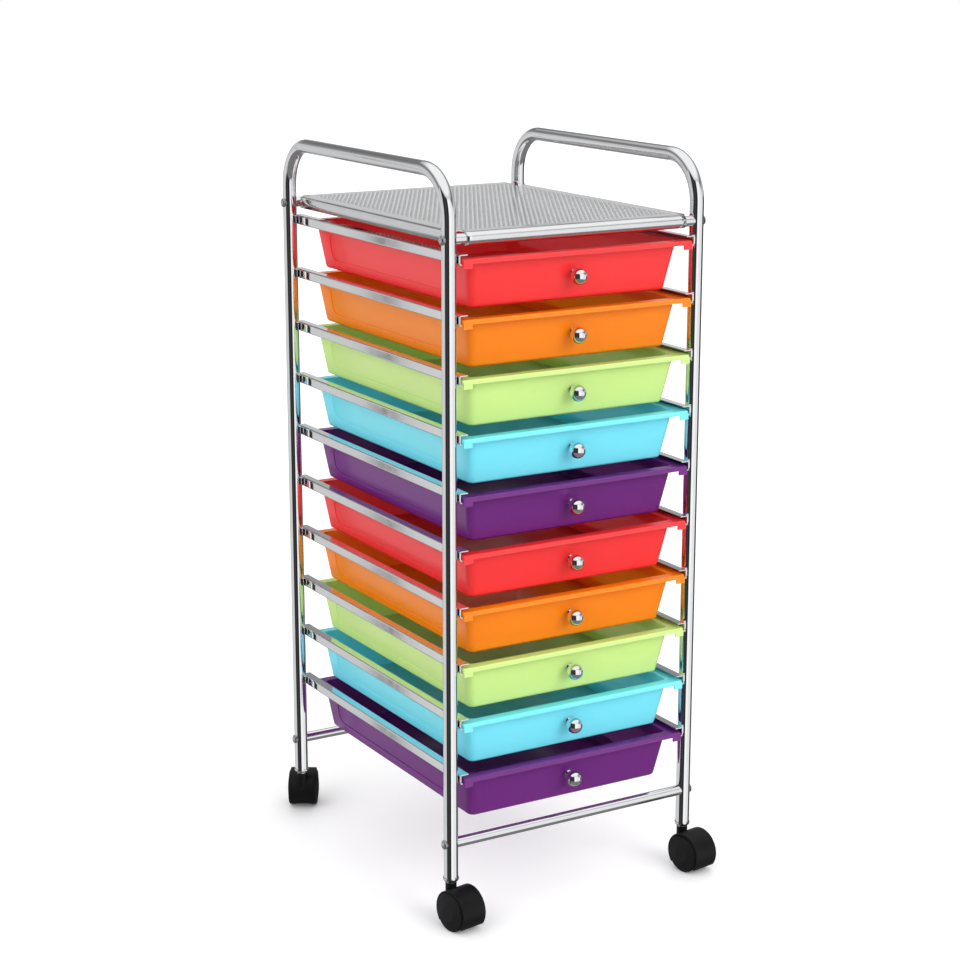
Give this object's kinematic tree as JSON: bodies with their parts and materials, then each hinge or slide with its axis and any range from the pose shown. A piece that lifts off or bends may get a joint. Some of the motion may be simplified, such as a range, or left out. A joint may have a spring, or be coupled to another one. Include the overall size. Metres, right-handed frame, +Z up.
{
  "type": "rolling drawer cart",
  "caption": "Rolling storage cart: a chromed tube frame with a perforated top shelf and handles, coloured plastic drawers on rails, and twin-wheel swivel casters.",
  "frame": {"origin": "on the floor under the middle of the frame", "axes": "+X to the right as one faces the drawers, +Y to the back, +Z up; drawers open towards -Y"},
  "size_m": [0.3544, 0.468, 0.841],
  "materials": {
    "chrome": "bright chrome plate",
    "shelf_chrome": "chromed perforated sheet",
    "knob_chrome": "bright chrome plate",
    "steel": "plated steel",
    "caster_plastic": "satin black",
    "wheel_plastic": "satin black",
    "drawer_red": "glossy tinted plastic",
    "drawer_orange": "glossy tinted plastic",
    "drawer_green": "glossy tinted plastic",
    "drawer_blue": "glossy tinted plastic",
    "drawer_purple": "glossy tinted plastic"
  },
  "bodies": {
    "frame": {"left_frame_tube": "chrome", "right_frame_tube": "chrome", "left_rails": "chrome", "right_rails": "chrome", "bottom_front_bar": "chrome", "bottom_rear_bar": "chrome", "top_front_bar": "chrome", "top_rear_bar": "chrome", "bar_end_plugs": "steel", "frame_screws": "steel", "top_shelf": "shelf_chrome", "caster_sockets": "chrome", "caster_stems": "steel"},
    "drawer_1_body": {"drawer_1": "drawer_red", "knob_1": "knob_chrome", "knob_screw_1": "steel"},
    "drawer_2_body": {"drawer_2": "drawer_orange", "knob_2": "knob_chrome", "knob_screw_2": "steel"},
    "drawer_3_body": {"drawer_3": "drawer_green", "knob_3": "knob_chrome", "knob_screw_3": "steel"},
    "drawer_4_body": {"drawer_4": "drawer_blue", "knob_4": "knob_chrome", "knob_screw_4": "steel"},
    "drawer_5_body": {"drawer_5": "drawer_purple", "knob_5": "knob_chrome", "knob_screw_5": "steel"},
    "drawer_6_body": {"drawer_6": "drawer_red", "knob_6": "knob_chrome", "knob_screw_6": "steel"},
    "drawer_7_body": {"drawer_7": "drawer_orange", "knob_7": "knob_chrome", "knob_screw_7": "steel"},
    "drawer_8_body": {"drawer_8": "drawer_green", "knob_8": "knob_chrome", "knob_screw_8": "steel"},
    "drawer_9_body": {"drawer_9": "drawer_blue", "knob_9": "knob_chrome", "knob_screw_9": "steel"},
    "drawer_10_body": {"drawer_10": "drawer_purple", "knob_10": "knob_chrome", "knob_screw_10": "steel"},
    "front_left_caster": {"front_left_caster_hood": "caster_plastic", "front_left_caster_axle": "steel"},
    "front_left_wheel_1_body": {"front_left_caster_wheel_1": "wheel_plastic"},
    "front_left_wheel_2_body": {"front_left_caster_wheel_2": "wheel_plastic"},
    "front_right_caster": {"front_right_caster_hood": "caster_plastic", "front_right_caster_axle": "steel"},
    "front_right_wheel_1_body": {"front_right_caster_wheel_1": "wheel_plastic"},
    "front_right_wheel_2_body": {"front_right_caster_wheel_2": "wheel_plastic"},
    "rear_left_caster": {"rear_left_caster_hood": "caster_plastic", "rear_left_caster_axle": "steel"},
    "rear_left_wheel_1_body": {"rear_left_caster_wheel_1": "wheel_plastic"},
    "rear_left_wheel_2_body": {"rear_left_caster_wheel_2": "wheel_plastic"},
    "rear_right_caster": {"rear_right_caster_hood": "caster_plastic", "rear_right_caster_axle": "steel"},
    "rear_right_wheel_1_body": {"rear_right_caster_wheel_1": "wheel_plastic"},
    "rear_right_wheel_2_body": {"rear_right_caster_wheel_2": "wheel_plastic"}
  },
  "joints": [
    {"name": "drawer_1_slide", "type": "slide", "parent": "frame", "child": "drawer_1_body", "axis": [0, -1, 0], "range_m": [0, 0.27]},
    {"name": "drawer_2_slide", "type": "slide", "parent": "frame", "child": "drawer_2_body", "axis": [0, -1, 0], "range_m": [0, 0.27]},
    {"name": "drawer_3_slide", "type": "slide", "parent": "frame", "child": "drawer_3_body", "axis": [0, -1, 0], "range_m": [0, 0.27]},
    {"name": "drawer_4_slide", "type": "slide", "parent": "frame", "child": "drawer_4_body", "axis": [0, -1, 0], "range_m": [0, 0.27]},
    {"name": "drawer_5_slide", "type": "slide", "parent": "frame", "child": "drawer_5_body", "axis": [0, -1, 0], "range_m": [0, 0.27]},
    {"name": "drawer_6_slide", "type": "slide", "parent": "frame", "child": "drawer_6_body", "axis": [0, -1, 0], "range_m": [0, 0.27]},
    {"name": "drawer_7_slide", "type": "slide", "parent": "frame", "child": "drawer_7_body", "axis": [0, -1, 0], "range_m": [0, 0.27]},
    {"name": "drawer_8_slide", "type": "slide", "parent": "frame", "child": "drawer_8_body", "axis": [0, -1, 0], "range_m": [0, 0.27]},
    {"name": "drawer_9_slide", "type": "slide", "parent": "frame", "child": "drawer_9_body", "axis": [0, -1, 0], "range_m": [0, 0.27]},
    {"name": "drawer_10_slide", "type": "slide", "parent": "frame", "child": "drawer_10_body", "axis": [0, -1, 0], "range_m": [0, 0.27]},
    {"name": "front_left_caster_swivel", "type": "hinge", "parent": "frame", "child": "front_left_caster", "pos_m": [-0.157, -0.1895, 0.04], "axis": [0, 0, 1], "continuous": true},
    {"name": "front_left_wheel_1_spin", "type": "hinge", "parent": "front_left_caster", "child": "front_left_wheel_1_body", "pos_m": [-0.15429, -0.20699, 0.022], "axis": [0.9882, 0.153, 0], "continuous": true},
    {"name": "front_left_wheel_2_spin", "type": "hinge", "parent": "front_left_caster", "child": "front_left_wheel_2_body", "pos_m": [-0.15429, -0.20699, 0.022], "axis": [0.9882, 0.153, 0], "continuous": true},
    {"name": "front_right_caster_swivel", "type": "hinge", "parent": "frame", "child": "front_right_caster", "pos_m": [0.157, -0.1895, 0.04], "axis": [0, 0, 1], "continuous": true},
    {"name": "front_right_wheel_1_spin", "type": "hinge", "parent": "front_right_caster", "child": "front_right_wheel_1_body", "pos_m": [0.15971, -0.20699, 0.022], "axis": [0.9882, 0.153, 0], "continuous": true},
    {"name": "front_right_wheel_2_spin", "type": "hinge", "parent": "front_right_caster", "child": "front_right_wheel_2_body", "pos_m": [0.15971, -0.20699, 0.022], "axis": [0.9882, 0.153, 0], "continuous": true},
    {"name": "rear_left_caster_swivel", "type": "hinge", "parent": "frame", "child": "rear_left_caster", "pos_m": [-0.157, 0.1895, 0.04], "axis": [0, 0, 1], "continuous": true},
    {"name": "rear_left_wheel_1_spin", "type": "hinge", "parent": "rear_left_caster", "child": "rear_left_wheel_1_body", "pos_m": [-0.14767, 0.20454, 0.022], "axis": [-0.8499, 0.527, 0], "continuous": true},
    {"name": "rear_left_wheel_2_spin", "type": "hinge", "parent": "rear_left_caster", "child": "rear_left_wheel_2_body", "pos_m": [-0.14767, 0.20454, 0.022], "axis": [-0.8499, 0.527, 0], "continuous": true},
    {"name": "rear_right_caster_swivel", "type": "hinge", "parent": "frame", "child": "rear_right_caster", "pos_m": [0.157, 0.1895, 0.04], "axis": [0, 0, 1], "continuous": true},
    {"name": "rear_right_wheel_1_spin", "type": "hinge", "parent": "rear_right_caster", "child": "rear_right_wheel_1_body", "pos_m": [0.15037, 0.20591, 0.022], "axis": [-0.9272, -0.3746, 0], "continuous": true},
    {"name": "rear_right_wheel_2_spin", "type": "hinge", "parent": "rear_right_caster", "child": "rear_right_wheel_2_body", "pos_m": [0.15037, 0.20591, 0.022], "axis": [-0.9272, -0.3746, 0], "continuous": true}
  ]
}
